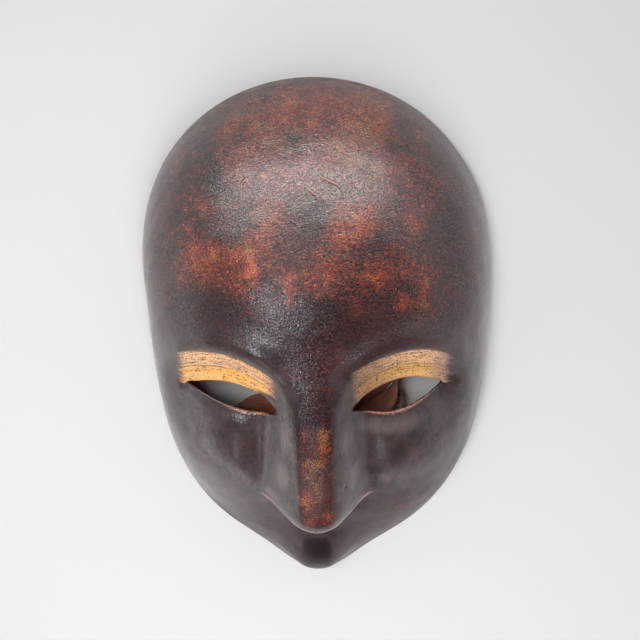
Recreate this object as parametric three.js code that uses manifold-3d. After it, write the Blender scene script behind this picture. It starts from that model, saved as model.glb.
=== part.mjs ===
// Venetian mask of papier-mache, lying face up on its rim, with a flat satin tie glued inside each temple.
// Millimetres. +Y points to the crown, +Z up from the table, and the origin is under the middle of the shell.
import * as THREE from 'three';
import { mergeVertices } from 'three/addons/utils/BufferGeometryUtils.js';
import Module from 'manifold-3d';

// Rim seen from above: a radius about the dome's summit, as an oval that narrows to a blunt point at the lip.
const RIM_MEAN = 101.8;
const RIM_LENGTHENED = 16.8;
const RIM_EGG = 2.5;
const RIM_SQUARED = -0.9;
const LIP_POINT = 11.8;
const LIP_POINT_SPREAD = 0.167;
// The rim was trimmed by hand, so its two sides differ a little.
const RIM_SHIFT = 2.6;
const RIM_SKEW = -1.1;

// Dome: summit height, wall thickness, and how full its profile is toward the sides, the crown and the lip.
const SUMMIT = 66;
const WALL = 3;
const FULLNESS = { side: 2.2, crown: 1.2, lip: 1.6 };
// Depth of each profile that would lie below the table, so the rim cuts it before its wall stands upright.
const SUNK = { side: 3, crown: 8, lip: 20 };
// The rim lifts clear of the table at both temples, and a little under the lip.
const TEMPLE_ARCH = { at: -12, half: 42, lift: 5 };
const LIP_ARCH = { at: -90, half: 16, lift: 1.2 };

// The face looks this far from straight up, toward the lip, in degrees.
const LEAN = 20;

// Nose, measured across the face (x) and up the face (v).
const NOSE = { top: 12, tip: -74.5, rise: 19, ridge: [7.5, 9], foot: [14, 27], edgeLift: 10, soft: 3, blend: 0.3 };
// Hollow beside the nose, from the eye's inner corner down to the nostril.
const HOLLOW = { x: 25, v: -44, wide: 8, tall: 20, depth: 3.5 };
// Brow line that the eye sockets hang from, and the sockets below it.
const BROW = { height: 8.2, at: 42, fallIn: 9, fallOut: 7.6, ridge: 2.2 };
const SOCKET = { depth: 6, reach: 15, end: 18, fade: 62, inner: 6, outer: 76 };
const CHEEK = { x: 47, v: -46, wide: 22, tall: 18, rise: 2.5 };
// The prow under the nose, which the upper lip is folded over.
const PROW = { half: 14, top: -84, end: -107, rise: 8.5 };

// Eye holes, each cut by hand: corners, lift of the upper edge and drop of the lower one. A peak or a low
// under 1 moves that edge's extreme toward the nose, and sag tells how full the lower edge is.
const EYES = [
  { side: 1, inner: [17.2, -17.6], outer: [60.7, -15.8], lift: 9.3, peak: 1, drop: 6.2, low: 0.85, sag: 0.8 },
  { side: -1, inner: [17.3, -18.5], outer: [60.7, -14.9], lift: 8.9, peak: 0.85, drop: 3.9, low: 0.55, sag: 1 },
];

// Satin ties. Each is glued flat inside a temple at the listed directions, then follows places
// [x, y, z, roll]: a roll of 0 lies flat and one of 90 stands on its edge.
const TIE = { width: 12, thick: 0.6, steps: 45 };
const GLUED_SHARE = 0.82;
const TIES = {
  ribbon_left: {
    glued: [-176, -168, -160],
    places: [[-59, -36, 12, 30], [-54, -48, 4, 5], [-43, -55, 1, 0], [-29, -47, 1, 0], [-12, -46, 3, 15],
      [5, -51, 4, 20], [19, -45, 3, 10], [32, -34, 2, 0], [43, -18, 4, 30], [48, 4, 7, 75], [40, 26, 7, 85],
      [20, 38, 7, 85], [-4, 40, 7, 85], [-26, 32, 7, 80], [-38, 14, 7, 75], [-47, 0, 7, 80], [-56, 14, 8, 85],
      [-51, 34, 8, 85], [-34, 46, 7, 85], [-10, 50, 7, 85], [8, 48, 7, 85]],
  },
  ribbon_right: {
    glued: [-8, 0, 8],
    places: [[63, 28, 10, 70], [52, 46, 7, 85], [34, 58, 7, 85], [8, 64, 7, 85], [-18, 58, 7, 80],
      [-32, 66, 7, 80], [-22, 80, 7, 80], [4, 82, 7, 80], [26, 78, 7, 80], [44, 66, 8, 75],
      [60, 44, 10, 70], [64, 14, 12.5, 62], [57, -10, 14, 62], [43.5, -25, 14, 80],
      [39.8, -33.3, 13.6, 86], [39.2, -37, 13.3, 79], [37, -41.5, 12.5, 60], [32.5, -46, 11, 36],
      [26, -51, 9, 38], [18, -58, 7.5, 62], [19, -67, 7, 80], [29, -71, 7, 85], [39, -65, 6.8, 80],
      [43.8, -56, 6.5, 68], [44.6, -50, 6.4, 68], [44, -45.8, 6.4, 76], [43, -42.5, 6.4, 97],
      [41.3, -38.8, 6.4, 102]],
  },
};

const RAD = Math.PI / 180;
const AHEAD = new THREE.Vector3(0, -Math.sin(LEAN * RAD), Math.cos(LEAN * RAD));

const wasm = await Module();
wasm.setup();

const { clamp, smoothstep } = THREE.MathUtils;

function byDirection(values, phi) {
  const s = Math.sin(phi);
  const end = s > 0 ? values.crown : values.lip;
  return values.side + (end - values.side) * s * s;
}

function bump(phi, arch) {
  const away = Math.atan2(Math.sin(phi - arch.at * RAD), Math.cos(phi - arch.at * RAD));
  const part = Math.abs(away) / (arch.half * RAD);
  return part < 1 ? arch.lift * (0.5 + 0.5 * Math.cos(Math.PI * part)) : 0;
}

function rimHeight(phi) {
  const left = bump(Math.PI - phi, TEMPLE_ARCH);
  return bump(phi, TEMPLE_ARCH) + left + bump(phi, LIP_ARCH);
}

function rimRadius(phi) {
  const fromLip = Math.atan2(Math.sin(phi + Math.PI / 2), Math.cos(phi + Math.PI / 2));
  return RIM_MEAN
    - RIM_LENGTHENED * Math.cos(2 * phi)
    + RIM_EGG * Math.sin(3 * phi)
    + RIM_SQUARED * Math.cos(4 * phi)
    + RIM_SHIFT * Math.cos(phi)
    + RIM_SKEW * Math.sin(2 * phi)
    + LIP_POINT * Math.exp(-((fromLip / LIP_POINT_SPREAD) ** 2));
}

// Point of the plain dome: t runs from 0 at the summit to 1 where the profile meets the table.
function dome(phi, t) {
  const q = byDirection(FULLNESS, phi);
  const sunk = byDirection(SUNK, phi);
  const whole = SUMMIT + sunk;
  const edge = Math.sqrt(1 - (sunk / whole) ** q);
  const rho = Math.sin(t * Math.asin(edge));
  const share = (rho / edge) ** 2;
  const oval = RIM_MEAN - RIM_LENGTHENED * Math.cos(2 * phi);
  const radius = (oval * (1 - share) + rimRadius(phi) * share) * rho / edge;
  const z = whole * Math.max(0, 1 - rho * rho) ** (1 / q) - sunk;
  return new THREE.Vector3(radius * Math.cos(phi), radius * Math.sin(phi), z);
}

function domeNormal(phi, t) {
  const at = Math.max(t, 0.02);
  const along = dome(phi, at + 0.004).sub(dome(phi, at - 0.004));
  const around = dome(phi + 0.01, at).sub(dome(phi - 0.01, at));
  return along.cross(around).normalize();
}

// Height up the face, which moving along AHEAD doesn't change.
function upFace(p) {
  return p.y * Math.cos(LEAN * RAD) + p.z * Math.sin(LEAN * RAD);
}

function noseEdge(x) {
  return NOSE.tip + NOSE.edgeLift * (Math.abs(x) / NOSE.foot[1]) ** 1.5;
}

function nose(x, v, inset) {
  const along = clamp((NOSE.top - v) / (NOSE.top - NOSE.tip), 0, 1.1);
  const ridge = NOSE.ridge[0] + (NOSE.ridge[1] - NOSE.ridge[0]) * along - inset * 0.6;
  const foot = NOSE.foot[0] + (NOSE.foot[1] - NOSE.foot[0]) * Math.sqrt(along) - inset * 0.6;
  const past = Math.abs(x) - ridge;
  const down = (Math.sqrt(past * past + NOSE.soft ** 2) + past) / 2 / (foot - ridge);
  const left = 1 - down;
  const across = (left > NOSE.blend ? left : Math.max(0, left + NOSE.blend) ** 2 / (4 * NOSE.blend)) ** 1.15;
  const above = v - noseEdge(x) - inset * 1.2;
  const tipRound = 1 - 0.2 * (1 - clamp(above / 7, 0, 1)) ** 2;
  const eased = 1.25 * along ** 2 / (along + 0.25);
  return NOSE.rise * eased * across * tipRound * smoothstep(above, -1.2, 1.2);
}

function browLine(x) {
  const off = Math.abs(x) - BROW.at;
  return BROW.height - (off / (off < 0 ? BROW.fallIn : BROW.fallOut)) ** 2;
}

function socket(x, v) {
  const below = browLine(x) - v;
  const across = smoothstep(Math.abs(x), SOCKET.inner, SOCKET.inner + 20)
    * (1 - smoothstep(Math.abs(x), SOCKET.outer - 18, SOCKET.outer));
  const hollow = SOCKET.depth * smoothstep(below, -2, SOCKET.reach) * (1 - smoothstep(below, SOCKET.end, SOCKET.fade));
  const ridge = BROW.ridge * Math.exp(-(((below + 5) / 6) ** 2));
  return across * (ridge - hollow);
}

function cheek(x, v) {
  const across = (Math.abs(x) - CHEEK.x) / CHEEK.wide;
  return CHEEK.rise * Math.exp(-(across ** 2) - ((v - CHEEK.v) / CHEEK.tall) ** 2);
}

function hollow(x, v) {
  const across = (Math.abs(x) - HOLLOW.x) / HOLLOW.wide;
  return -HOLLOW.depth * Math.exp(-(across ** 2) - ((v - HOLLOW.v) / HOLLOW.tall) ** 2);
}

function prow(x, v) {
  const down = clamp((PROW.top - v) / (PROW.top - PROW.end), 0, 1);
  const crest = PROW.rise * (down + smoothstep(down, 0, 1)) / 2;
  return crest / (1 + (x / PROW.half) ** 4);
}

// How far the modelled face stands ahead of the plain dome.
function relief(x, v, t, inset) {
  const face = (nose(x, v, inset) + socket(x, v) + cheek(x, v) + hollow(x, v)) * (1 - smoothstep(t, 0.9, 1));
  return face + prow(x, v) * (1 - smoothstep(t, 0.87, 0.985));
}

function outside(phi, t) {
  const p = dome(phi, t);
  return p.addScaledVector(AHEAD, relief(p.x, upFace(p), t, 0));
}

function inside(phi, t) {
  const p = dome(phi, t).addScaledVector(domeNormal(phi, t), -WALL);
  return p.addScaledVector(AHEAD, relief(p.x, upFace(p), t, WALL));
}

// Share of t at which a surface comes down to its rim height.
function rimShare(surface, phi) {
  let low = 0.7;
  let high = 1;
  for (let i = 0; i < 30; i += 1) {
    const mid = (low + high) / 2;
    if (surface(phi, mid).z > rimHeight(phi)) {
      low = mid;
    } else {
      high = mid;
    }
  }
  return (low + high) / 2;
}

// Directions of the columns: close together at the nose, closer at the eyes than over the crown.
function columns() {
  const half = [0];
  while (half.at(-1) < 180) {
    const at = half.at(-1);
    half.push(at + (at < 15 ? 1.7 : at < 72 ? 3.4 : 6.9));
  }
  const scale = 180 / half.at(-1);
  const right = half.map((a) => a * scale);
  const left = right.slice(1, -1).reverse().map((a) => -a);
  return [...right, ...left].map((a) => (a - 90) * RAD);
}

// Share of t at which a column crosses the nose's lower edge, eased to a plain value away from the nose.
const NOSE_KNOT = 0.58;
function noseShare(phi) {
  const away = Math.abs(Math.atan2(Math.sin(phi + Math.PI / 2), Math.cos(phi + Math.PI / 2))) / RAD;
  let low = 0.3;
  let high = 0.9;
  for (let i = 0; i < 30; i += 1) {
    const mid = (low + high) / 2;
    const p = dome(phi, mid);
    if (upFace(p) > noseEdge(p.x)) {
      low = mid;
    } else {
      high = mid;
    }
  }
  const ease = smoothstep(away, 18, 46);
  return low * (1 - ease) + NOSE_KNOT * ease;
}

function warped(ring, knot, end) {
  if (ring <= NOSE_KNOT) {
    return ring * knot / NOSE_KNOT;
  }
  return end - (1 - ring) * (end - knot) / (1 - NOSE_KNOT);
}

const OUTER_RINGS = [0.07, 0.13, 0.18, 0.225, 0.26, 0.29, 0.32, 0.35, 0.38, 0.41, 0.44, 0.47, 0.5, 0.53, 0.555,
  0.57, 0.59, 0.602, 0.625, 0.66, 0.7, 0.745, 0.79, 0.835, 0.88, 0.92, 0.955, 0.98, 1];
const INNER_RINGS = [0.1, 0.19, 0.27, 0.34, 0.41, 0.48, 0.53, 0.57, 0.59, 0.63, 0.7, 0.79, 0.88, 0.95, 1];

function shellSolid() {
  const around = columns();
  const points = [];
  const faces = [];
  const sheet = (surface, rings, shift) => {
    const pole = points.length;
    points.push(surface(0, 0));
    const rows = rings.map((ring) => around.map((phi) => {
      const t = warped(ring, noseShare(phi) - shift, rimShare(surface, phi));
      points.push(surface(phi, t));
      return points.length - 1;
    }));
    return { pole, rows };
  };
  const outer = sheet(outside, OUTER_RINGS, 0);
  const inner = sheet(inside, INNER_RINGS, WALL * 1.2 / 131);
  const count = around.length;
  const strip = (a, b, flip) => {
    for (let i = 0; i < count; i += 1) {
      const j = (i + 1) % count;
      const quads = [[a[i], b[i], b[j]], [a[i], b[j], a[j]]];
      quads.forEach((f) => faces.push(flip ? [f[0], f[2], f[1]] : f));
    }
  };
  const cap = (pole, row, flip) => {
    for (let i = 0; i < count; i += 1) {
      const j = (i + 1) % count;
      faces.push(flip ? [pole, row[j], row[i]] : [pole, row[i], row[j]]);
    }
  };
  cap(outer.pole, outer.rows[0], false);
  cap(inner.pole, inner.rows[0], true);
  for (let k = 1; k < outer.rows.length; k += 1) {
    strip(outer.rows[k - 1], outer.rows[k], false);
  }
  for (let k = 1; k < inner.rows.length; k += 1) {
    strip(inner.rows[k - 1], inner.rows[k], true);
  }
  strip(outer.rows.at(-1), inner.rows.at(-1), false);
  return solidOf(points, faces);
}

function solidOf(points, faces) {
  const vertProperties = new Float32Array(points.flatMap((p) => [p.x, p.y, p.z]));
  const triVerts = new Uint32Array(faces.flat());
  return new wasm.Manifold(new wasm.Mesh({ numProp: 3, vertProperties, triVerts }));
}

// Dome direction and share whose point shows at (x, v) on the face.
function placeOnDome(x, v) {
  let phi = Math.atan2(v - 20, x);
  let t = 0.5;
  for (let i = 0; i < 12; i += 1) {
    const p = dome(phi, t);
    const a = dome(phi + 1e-4, t);
    const b = dome(phi, t + 1e-4);
    const miss = [x - p.x, v - upFace(p)];
    const m = [(a.x - p.x) * 1e4, (b.x - p.x) * 1e4, (upFace(a) - upFace(p)) * 1e4, (upFace(b) - upFace(p)) * 1e4];
    const det = m[0] * m[3] - m[1] * m[2];
    phi += clamp((miss[0] * m[3] - m[1] * miss[1]) / det, -0.3, 0.3);
    t = clamp(t + clamp((m[0] * miss[1] - miss[0] * m[2]) / det, -0.2, 0.2), 0.02, 1);
  }
  return [phi, t];
}

// Closed almond outline on the face: upper edge out to the far corner, lower edge back.
function eyeOutline(eye, steps) {
  const outline = [];
  for (let i = 0; i < 2 * steps; i += 1) {
    const upper = i < steps;
    const s = upper ? i / steps : 2 - i / steps;
    const eased = 0.5 - 0.5 * Math.cos(Math.PI * s);
    const x = eye.inner[0] + (eye.outer[0] - eye.inner[0]) * eased;
    const corner = eye.inner[1] + (eye.outer[1] - eye.inner[1]) * eased;
    const arc = Math.max(0, Math.sin(Math.PI * eased ** (upper ? eye.peak : eye.low)));
    const v = upper ? corner + eye.lift * arc ** 0.85 : corner - eye.drop * arc ** eye.sag;
    outline.push([eye.side * x, v]);
  }
  return eye.side > 0 ? outline : outline.reverse();
}

function eyeCutter(eye) {
  const top = [];
  const bottom = [];
  eyeOutline(eye, 16).forEach(([x, v]) => {
    const [phi, t] = placeOnDome(x, v);
    const p = outside(phi, t);
    const n = domeNormal(phi, t);
    top.push(p.clone().addScaledVector(n, 12));
    bottom.push(p.clone().addScaledVector(n, -16));
  });
  const middle = (ring) => ring.reduce((sum, p) => sum.add(p), new THREE.Vector3()).divideScalar(ring.length);
  const count = top.length;
  const points = [...top, ...bottom, middle(top), middle(bottom)];
  const faces = [];
  for (let i = 0; i < count; i += 1) {
    const j = (i + 1) % count;
    faces.push([i, i + count, j + count], [i, j + count, j]);
    faces.push([2 * count, i, j], [2 * count + 1, j + count, i + count]);
  }
  const solid = solidOf(points, faces);
  return solid.volume() > 0 ? solid : solidOf(points, faces.map((f) => [f[0], f[2], f[1]]));
}

function geometryOf(solid) {
  const mesh = solid.getMesh();
  const geometry = new THREE.BufferGeometry();
  geometry.setAttribute('position', new THREE.BufferAttribute(new Float32Array(mesh.vertProperties), 3));
  geometry.setIndex(new THREE.BufferAttribute(new Uint32Array(mesh.triVerts), 1));
  return geometry;
}

// Route of a flat tie: its frames turn by the roll listed at each place.
class TieRoute extends THREE.CatmullRomCurve3 {
  constructor(places) {
    super(places.map(([x, y, z]) => new THREE.Vector3(x, y, z)), false, 'centripetal');
    this.rolls = places.map((place) => place[3] * RAD);
  }

  rollAt(u) {
    const at = this.getUtoTmapping(u) * (this.rolls.length - 1);
    const i = Math.min(Math.floor(at), this.rolls.length - 2);
    return this.rolls[i] + (this.rolls[i + 1] - this.rolls[i]) * smoothstep(at - i, 0, 1);
  }

  computeFrenetFrames(segments) {
    const frames = { tangents: [], normals: [], binormals: [] };
    for (let i = 0; i <= segments; i += 1) {
      const tangent = this.getTangentAt(i / segments);
      const level = new THREE.Vector3(-tangent.y, tangent.x, 0).normalize();
      const rise = tangent.clone().cross(level).normalize();
      const roll = this.rollAt(i / segments);
      frames.tangents.push(tangent);
      frames.normals.push(level.clone().multiplyScalar(Math.cos(roll)).addScaledVector(rise, Math.sin(roll)));
      frames.binormals.push(rise.multiplyScalar(Math.cos(roll)).addScaledVector(level, -Math.sin(roll)));
    }
    return frames;
  }
}

// Places of the glued end, flat against the wall with its face just clear of it.
function gluedPlaces(directions) {
  return directions.map((direction) => {
    const phi = direction * RAD;
    const n = domeNormal(phi, GLUED_SHARE);
    const p = inside(phi, GLUED_SHARE).addScaledVector(n, -TIE.thick / 2 - 1.4);
    return [p.x, p.y, p.z, Math.acos(n.z) / RAD];
  });
}

function tieGeometry(tie) {
  const places = [...gluedPlaces(tie.glued), ...tie.places];
  const w = TIE.width / 2;
  const h = TIE.thick / 2;
  const section = new THREE.Shape([[-w, -h * 0.4], [-w + 0.5, -h], [w - 0.5, -h], [w, -h * 0.4], [w, h * 0.4],
    [w - 0.5, h], [-w + 0.5, h], [-w, h * 0.4]].map(([x, y]) => new THREE.Vector2(x, y)));
  const swept = new THREE.ExtrudeGeometry(section, { steps: TIE.steps, extrudePath: new TieRoute(places) });
  swept.deleteAttribute('normal');
  swept.deleteAttribute('uv');
  return mergeVertices(swept);
}

const group = new THREE.Group();

const lacquer = new THREE.MeshStandardMaterial({ color: 0x3a211f, roughness: 0.35, metalness: 0 });
let shell = shellSolid();
EYES.forEach((eye) => {
  shell = shell.subtract(eyeCutter(eye));
});
const mask = new THREE.Mesh(geometryOf(shell), lacquer);
mask.name = 'mask_shell';
group.add(mask);

const satin = new THREE.MeshStandardMaterial({ color: 0x4a2a22, roughness: 0.4, metalness: 0 });
Object.entries(TIES).forEach(([name, tie]) => {
  const mesh = new THREE.Mesh(tieGeometry(tie), satin);
  mesh.name = name;
  group.add(mesh);
});

mask.geometry.computeBoundingBox();
const middle = mask.geometry.boundingBox.getCenter(new THREE.Vector3());
group.position.set(-middle.x, -middle.y, 0);

export default group;
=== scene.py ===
import math
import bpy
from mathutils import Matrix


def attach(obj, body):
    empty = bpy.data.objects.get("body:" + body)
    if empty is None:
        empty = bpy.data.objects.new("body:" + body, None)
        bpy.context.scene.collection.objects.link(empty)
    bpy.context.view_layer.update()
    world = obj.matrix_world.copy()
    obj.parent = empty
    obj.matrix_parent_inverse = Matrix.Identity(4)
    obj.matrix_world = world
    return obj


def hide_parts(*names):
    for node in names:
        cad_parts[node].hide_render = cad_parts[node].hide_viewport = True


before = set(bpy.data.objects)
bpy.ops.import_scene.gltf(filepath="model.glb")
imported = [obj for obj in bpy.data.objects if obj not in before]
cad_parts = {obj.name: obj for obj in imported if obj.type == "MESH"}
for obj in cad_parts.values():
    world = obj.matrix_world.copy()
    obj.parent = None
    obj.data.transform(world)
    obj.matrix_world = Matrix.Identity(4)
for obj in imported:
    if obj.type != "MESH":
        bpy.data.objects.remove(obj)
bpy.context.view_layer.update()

from types import SimpleNamespace

import bpy
import numpy as np
from mathutils import Matrix, Vector
from mathutils.geometry import delaunay_2d_cdt

# Sizes are in millimetres, in the shell's own layout: the dome's summit stands over x = 0, y = 0.
MIDDLE = np.array([1.826, -7.983, 0.0])

RIM_MEAN = 101.8
RIM_LENGTHENED = 16.8
RIM_EGG = 2.5
RIM_SQUARED = -0.9
LIP_POINT = 11.8
LIP_POINT_SPREAD = 0.167
RIM_SHIFT = 2.6
RIM_SKEW = -1.1
SUMMIT = 66
WALL = 3
FULLNESS = {"side": 2.2, "crown": 1.2, "lip": 1.6}
SUNK = {"side": 3, "crown": 8, "lip": 20}
TEMPLE_ARCH = {"at": -12, "half": 42, "lift": 5}
LIP_ARCH = {"at": -90, "half": 16, "lift": 1.2}
LEAN = math.radians(20)
NOSE = {"top": 12, "tip": -74.5, "rise": 19, "ridge": (7.5, 9), "foot": (14, 27), "edge_lift": 10,
        "soft": 3, "blend": 0.3}
HOLLOW = {"x": 25, "v": -44, "wide": 8, "tall": 20, "rise": -3.5}
BROW = {"height": 8.2, "at": 42, "fall_in": 9, "fall_out": 7.6, "ridge": 2.2}
SOCKET = {"depth": 6, "reach": 15, "end": 18, "fade": 62, "inner": 6, "outer": 76}
CHEEK = {"x": 47, "v": -46, "wide": 22, "tall": 18, "rise": 2.5}
PROW = {"half": 14, "top": -84, "end": -107, "rise": 8.5}
EYES = [
    {"side": 1, "inner": (17.2, -17.6), "outer": (60.7, -15.8), "lift": 9.3, "peak": 1.0, "drop": 6.2,
     "low": 0.85, "sag": 0.8},
    {"side": -1, "inner": (17.3, -18.5), "outer": (60.7, -14.9), "lift": 8.9, "peak": 0.85, "drop": 3.9,
     "low": 0.55, "sag": 1.0},
]
TIE_WIDTH = 12
TIE_THICK = 0.45
# Where on the dome's profile the ties are glued, and how far off the lining their middle lies.
GLUED_SHARE = 0.82
GLUED_CLEAR = 1.7
# Directions of the glued part in degrees, then places, each with the band's roll in degrees.
TIES = {
    "ribbon_left": {
        "glued": (-176, -168, -160),
        "places": [(-59, -36, 12, 30), (-54, -48, 4, 5), (-43, -55, 1, 0), (-29, -47, 1, 0),
                   (-12, -46, 3, 15), (5, -51, 4, 20), (19, -45, 3, 10), (32, -34, 2, 0),
                   (43, -18, 4, 30), (48, 4, 7, 75),
                   (40, 26, 7, 85), (20, 38, 7, 85), (-4, 40, 7, 85), (-26, 32, 7, 80), (-38, 14, 7, 75),
                   (-47, 0, 7, 80), (-56, 14, 8, 85), (-51, 34, 8, 85), (-34, 46, 7, 85), (-10, 50, 7, 85),
                   (8, 48, 7, 85)],
    },
    "ribbon_right": {
        "glued": (-8, 0, 8),
        "places": [(63, 28, 10, 70), (52, 46, 7, 85), (34, 58, 7, 85), (8, 64, 7, 85), (-18, 58, 7, 80),
                   (-32, 66, 7, 80), (-22, 80, 7, 80), (4, 82, 7, 80), (26, 78, 7, 80), (44, 66, 8, 75),
                   (60, 44, 10, 70), (64, 14, 12.5, 62), (57, -10, 14, 62), (43.5, -25, 14, 80),
                   (39.8, -33.3, 13.6, 86), (39.2, -37, 13.3, 79), (37, -41.5, 12.5, 60),
                   (32.5, -46, 11, 36), (26, -51, 9, 38), (18, -58, 7.5, 62), (19, -67, 7, 80),
                   (29, -71, 7, 85), (39, -65, 6.8, 80), (43.8, -56, 6.5, 68), (44.6, -50, 6.4, 68),
                   (44, -45.8, 6.4, 76), (43, -42.5, 6.4, 97), (41.3, -38.8, 6.4, 102)],
    },
}

AHEAD = np.array([0.0, -math.sin(LEAN), math.cos(LEAN)])


def smooth(x, low, high):
    s = np.clip((x - low) / (high - low), 0, 1)
    return s * s * (3 - 2 * s)


def by_direction(values, phi):
    s = np.sin(phi)
    end = np.where(s > 0, values["crown"], values["lip"])
    return values["side"] + (end - values["side"]) * s * s


def bump(phi, arch):
    away = np.angle(np.exp(1j * (phi - math.radians(arch["at"]))))
    part = np.abs(away) / math.radians(arch["half"])
    return np.where(part < 1, arch["lift"] * (0.5 + 0.5 * np.cos(math.pi * np.minimum(part, 1))), 0.0)


def rim_height(phi):
    return bump(phi, TEMPLE_ARCH) + bump(math.pi - phi, TEMPLE_ARCH) + bump(phi, LIP_ARCH)


def rim_radius(phi):
    from_lip = np.angle(np.exp(1j * (phi + math.pi / 2)))
    return (RIM_MEAN - RIM_LENGTHENED * np.cos(2 * phi) + RIM_EGG * np.sin(3 * phi)
            + RIM_SQUARED * np.cos(4 * phi) + RIM_SHIFT * np.cos(phi) + RIM_SKEW * np.sin(2 * phi)
            + LIP_POINT * np.exp(-((from_lip / LIP_POINT_SPREAD) ** 2)))


def dome(phi, t):
    q = by_direction(FULLNESS, phi)
    sunk = by_direction(SUNK, phi)
    whole = SUMMIT + sunk
    edge = np.sqrt(1 - (sunk / whole) ** q)
    rho = np.sin(t * np.arcsin(edge))
    share = (rho / edge) ** 2
    oval = RIM_MEAN - RIM_LENGTHENED * np.cos(2 * phi)
    radius = (oval * (1 - share) + rim_radius(phi) * share) * rho / edge
    z = whole * np.maximum(0, 1 - rho * rho) ** (1 / q) - sunk
    return np.stack([radius * np.cos(phi), radius * np.sin(phi), z], -1)


def unit(v):
    return v / np.linalg.norm(v, axis=-1, keepdims=True)


def dome_normal(phi, t):
    at = np.maximum(t, 0.02)
    along = dome(phi, at + 0.004) - dome(phi, at - 0.004)
    around = dome(phi + 0.01, at) - dome(phi - 0.01, at)
    return unit(np.cross(along, around))


def up_face(p):
    return p[..., 1] * math.cos(LEAN) + p[..., 2] * math.sin(LEAN)


def nose_edge(x):
    return NOSE["tip"] + NOSE["edge_lift"] * (np.abs(x) / NOSE["foot"][1]) ** 1.5


def nose(x, v, inset):
    along = np.clip((NOSE["top"] - v) / (NOSE["top"] - NOSE["tip"]), 0, 1.1)
    ridge = NOSE["ridge"][0] + (NOSE["ridge"][1] - NOSE["ridge"][0]) * along - inset * 0.6
    foot = NOSE["foot"][0] + (NOSE["foot"][1] - NOSE["foot"][0]) * np.sqrt(along) - inset * 0.6
    past = np.abs(x) - ridge
    down = (np.sqrt(past * past + NOSE["soft"] ** 2) + past) / 2 / (foot - ridge)
    left = 1 - down
    blend = NOSE["blend"]
    across = np.where(left > blend, left, np.maximum(0, left + blend) ** 2 / (4 * blend)) ** 1.15
    above = v - nose_edge(x) - inset * 1.2
    tip_round = 1 - 0.2 * (1 - np.clip(above / 7, 0, 1)) ** 2
    eased = 1.25 * along ** 2 / (along + 0.25)
    return NOSE["rise"] * eased * across * tip_round * smooth(above, -1.2, 1.2)


def brow_line(brow, x):
    off = np.abs(x) - brow["at"]
    return brow["height"] - (off / np.where(off < 0, brow["fall_in"], brow["fall_out"])) ** 2


def socket(x, v):
    below = brow_line(BROW, x) - v
    across = smooth(np.abs(x), SOCKET["inner"], SOCKET["inner"] + 20)
    across = across * (1 - smooth(np.abs(x), SOCKET["outer"] - 18, SOCKET["outer"]))
    sunk = SOCKET["depth"] * smooth(below, -2, SOCKET["reach"])
    sunk = sunk * (1 - smooth(below, SOCKET["end"], SOCKET["fade"]))
    return across * (BROW["ridge"] * np.exp(-(((below + 5) / 6) ** 2)) - sunk)


def mound(form, x, v):
    across = (np.abs(x) - form["x"]) / form["wide"]
    return form["rise"] * np.exp(-(across ** 2) - ((v - form["v"]) / form["tall"]) ** 2)


def prow(x, v):
    down = np.clip((PROW["top"] - v) / (PROW["top"] - PROW["end"]), 0, 1)
    crest = PROW["rise"] * (down + smooth(down, 0, 1)) / 2
    return crest / (1 + (x / PROW["half"]) ** 4)


def relief(x, v, t, inset):
    face = nose(x, v, inset) + socket(x, v) + mound(CHEEK, x, v) + mound(HOLLOW, x, v)
    return face * (1 - smooth(t, 0.9, 1)) + prow(x, v) * (1 - smooth(t, 0.87, 0.985))


def lumps(p, size, count, seed):
    """Smooth unevenness between about -1 and 1, with lumps of that size."""
    rng = np.random.default_rng(seed)
    ways = unit(rng.normal(size=(count, 3)))
    ways = ways * (2 * math.pi / (size * rng.uniform(0.7, 1.5, count)))[:, None]
    turns = rng.uniform(0, 2 * math.pi, count)
    return np.sin(p @ ways.T + turns).sum(-1) * math.sqrt(2 / count) * 0.6


# Upper lid: a roll along the hole, then a crease, then the slope up to the painted brow line.
LID = {"crease": 0.44, "rise": 0.9, "groove": 0.5}
LOWER_LID = {"sink": 1.1, "reach": 3.8}
PAINTED_BROW = {
    -1: {"height": 8.0, "at": 43, "fall_in": 8.2, "fall_out": 8.4},
    1: {"height": 8.3, "at": 42, "fall_in": 10.2, "fall_out": 7.2},
}


def corner_line(eye, share, k):
    """The straight line between the corners of a hole."""
    return eye["inner"][k] + (eye["outer"][k] - eye["inner"][k]) * share


def lid_place(x, v):
    """(share along the lid, share up from the hole to the brow line, mm above the hole) of a face point."""
    along = np.zeros_like(x)
    up = np.full_like(x, 9.0)
    above = np.full_like(x, 99.0)
    for eye in EYES:
        side = eye["side"]
        here = x * side > 5
        a = (np.abs(x) - eye["inner"][0]) / (eye["outer"][0] - eye["inner"][0])
        c = np.clip(a, 0, 1)
        arc = np.sin(math.pi * c ** eye["peak"]) ** 0.85
        edge = corner_line(eye, a, 1) + eye["lift"] * arc
        line = brow_line(PAINTED_BROW[side], x)
        along = np.where(here, a, along)
        up = np.where(here, (v - edge) / np.maximum(line - edge, 3), up)
        above = np.where(here, v - edge, above)
    return along, up, above


def lower_lid_place(x, v):
    """(share along, mm below the hole's lower edge) of a face point."""
    along = np.full_like(x, -1.0)
    below = np.full_like(x, 99.0)
    for eye in EYES:
        a = (x * eye["side"] - eye["inner"][0]) / (eye["outer"][0] - eye["inner"][0])
        c = np.clip(a, 0.001, 1)
        sag = np.maximum(0, np.sin(math.pi * c ** eye["low"])) ** eye["sag"]
        edge = corner_line(eye, a, 1) - eye["drop"] * sag
        here = x * eye["side"] > 5
        along = np.where(here, a, along)
        below = np.where(here, edge - v, below)
    return along, below


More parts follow.
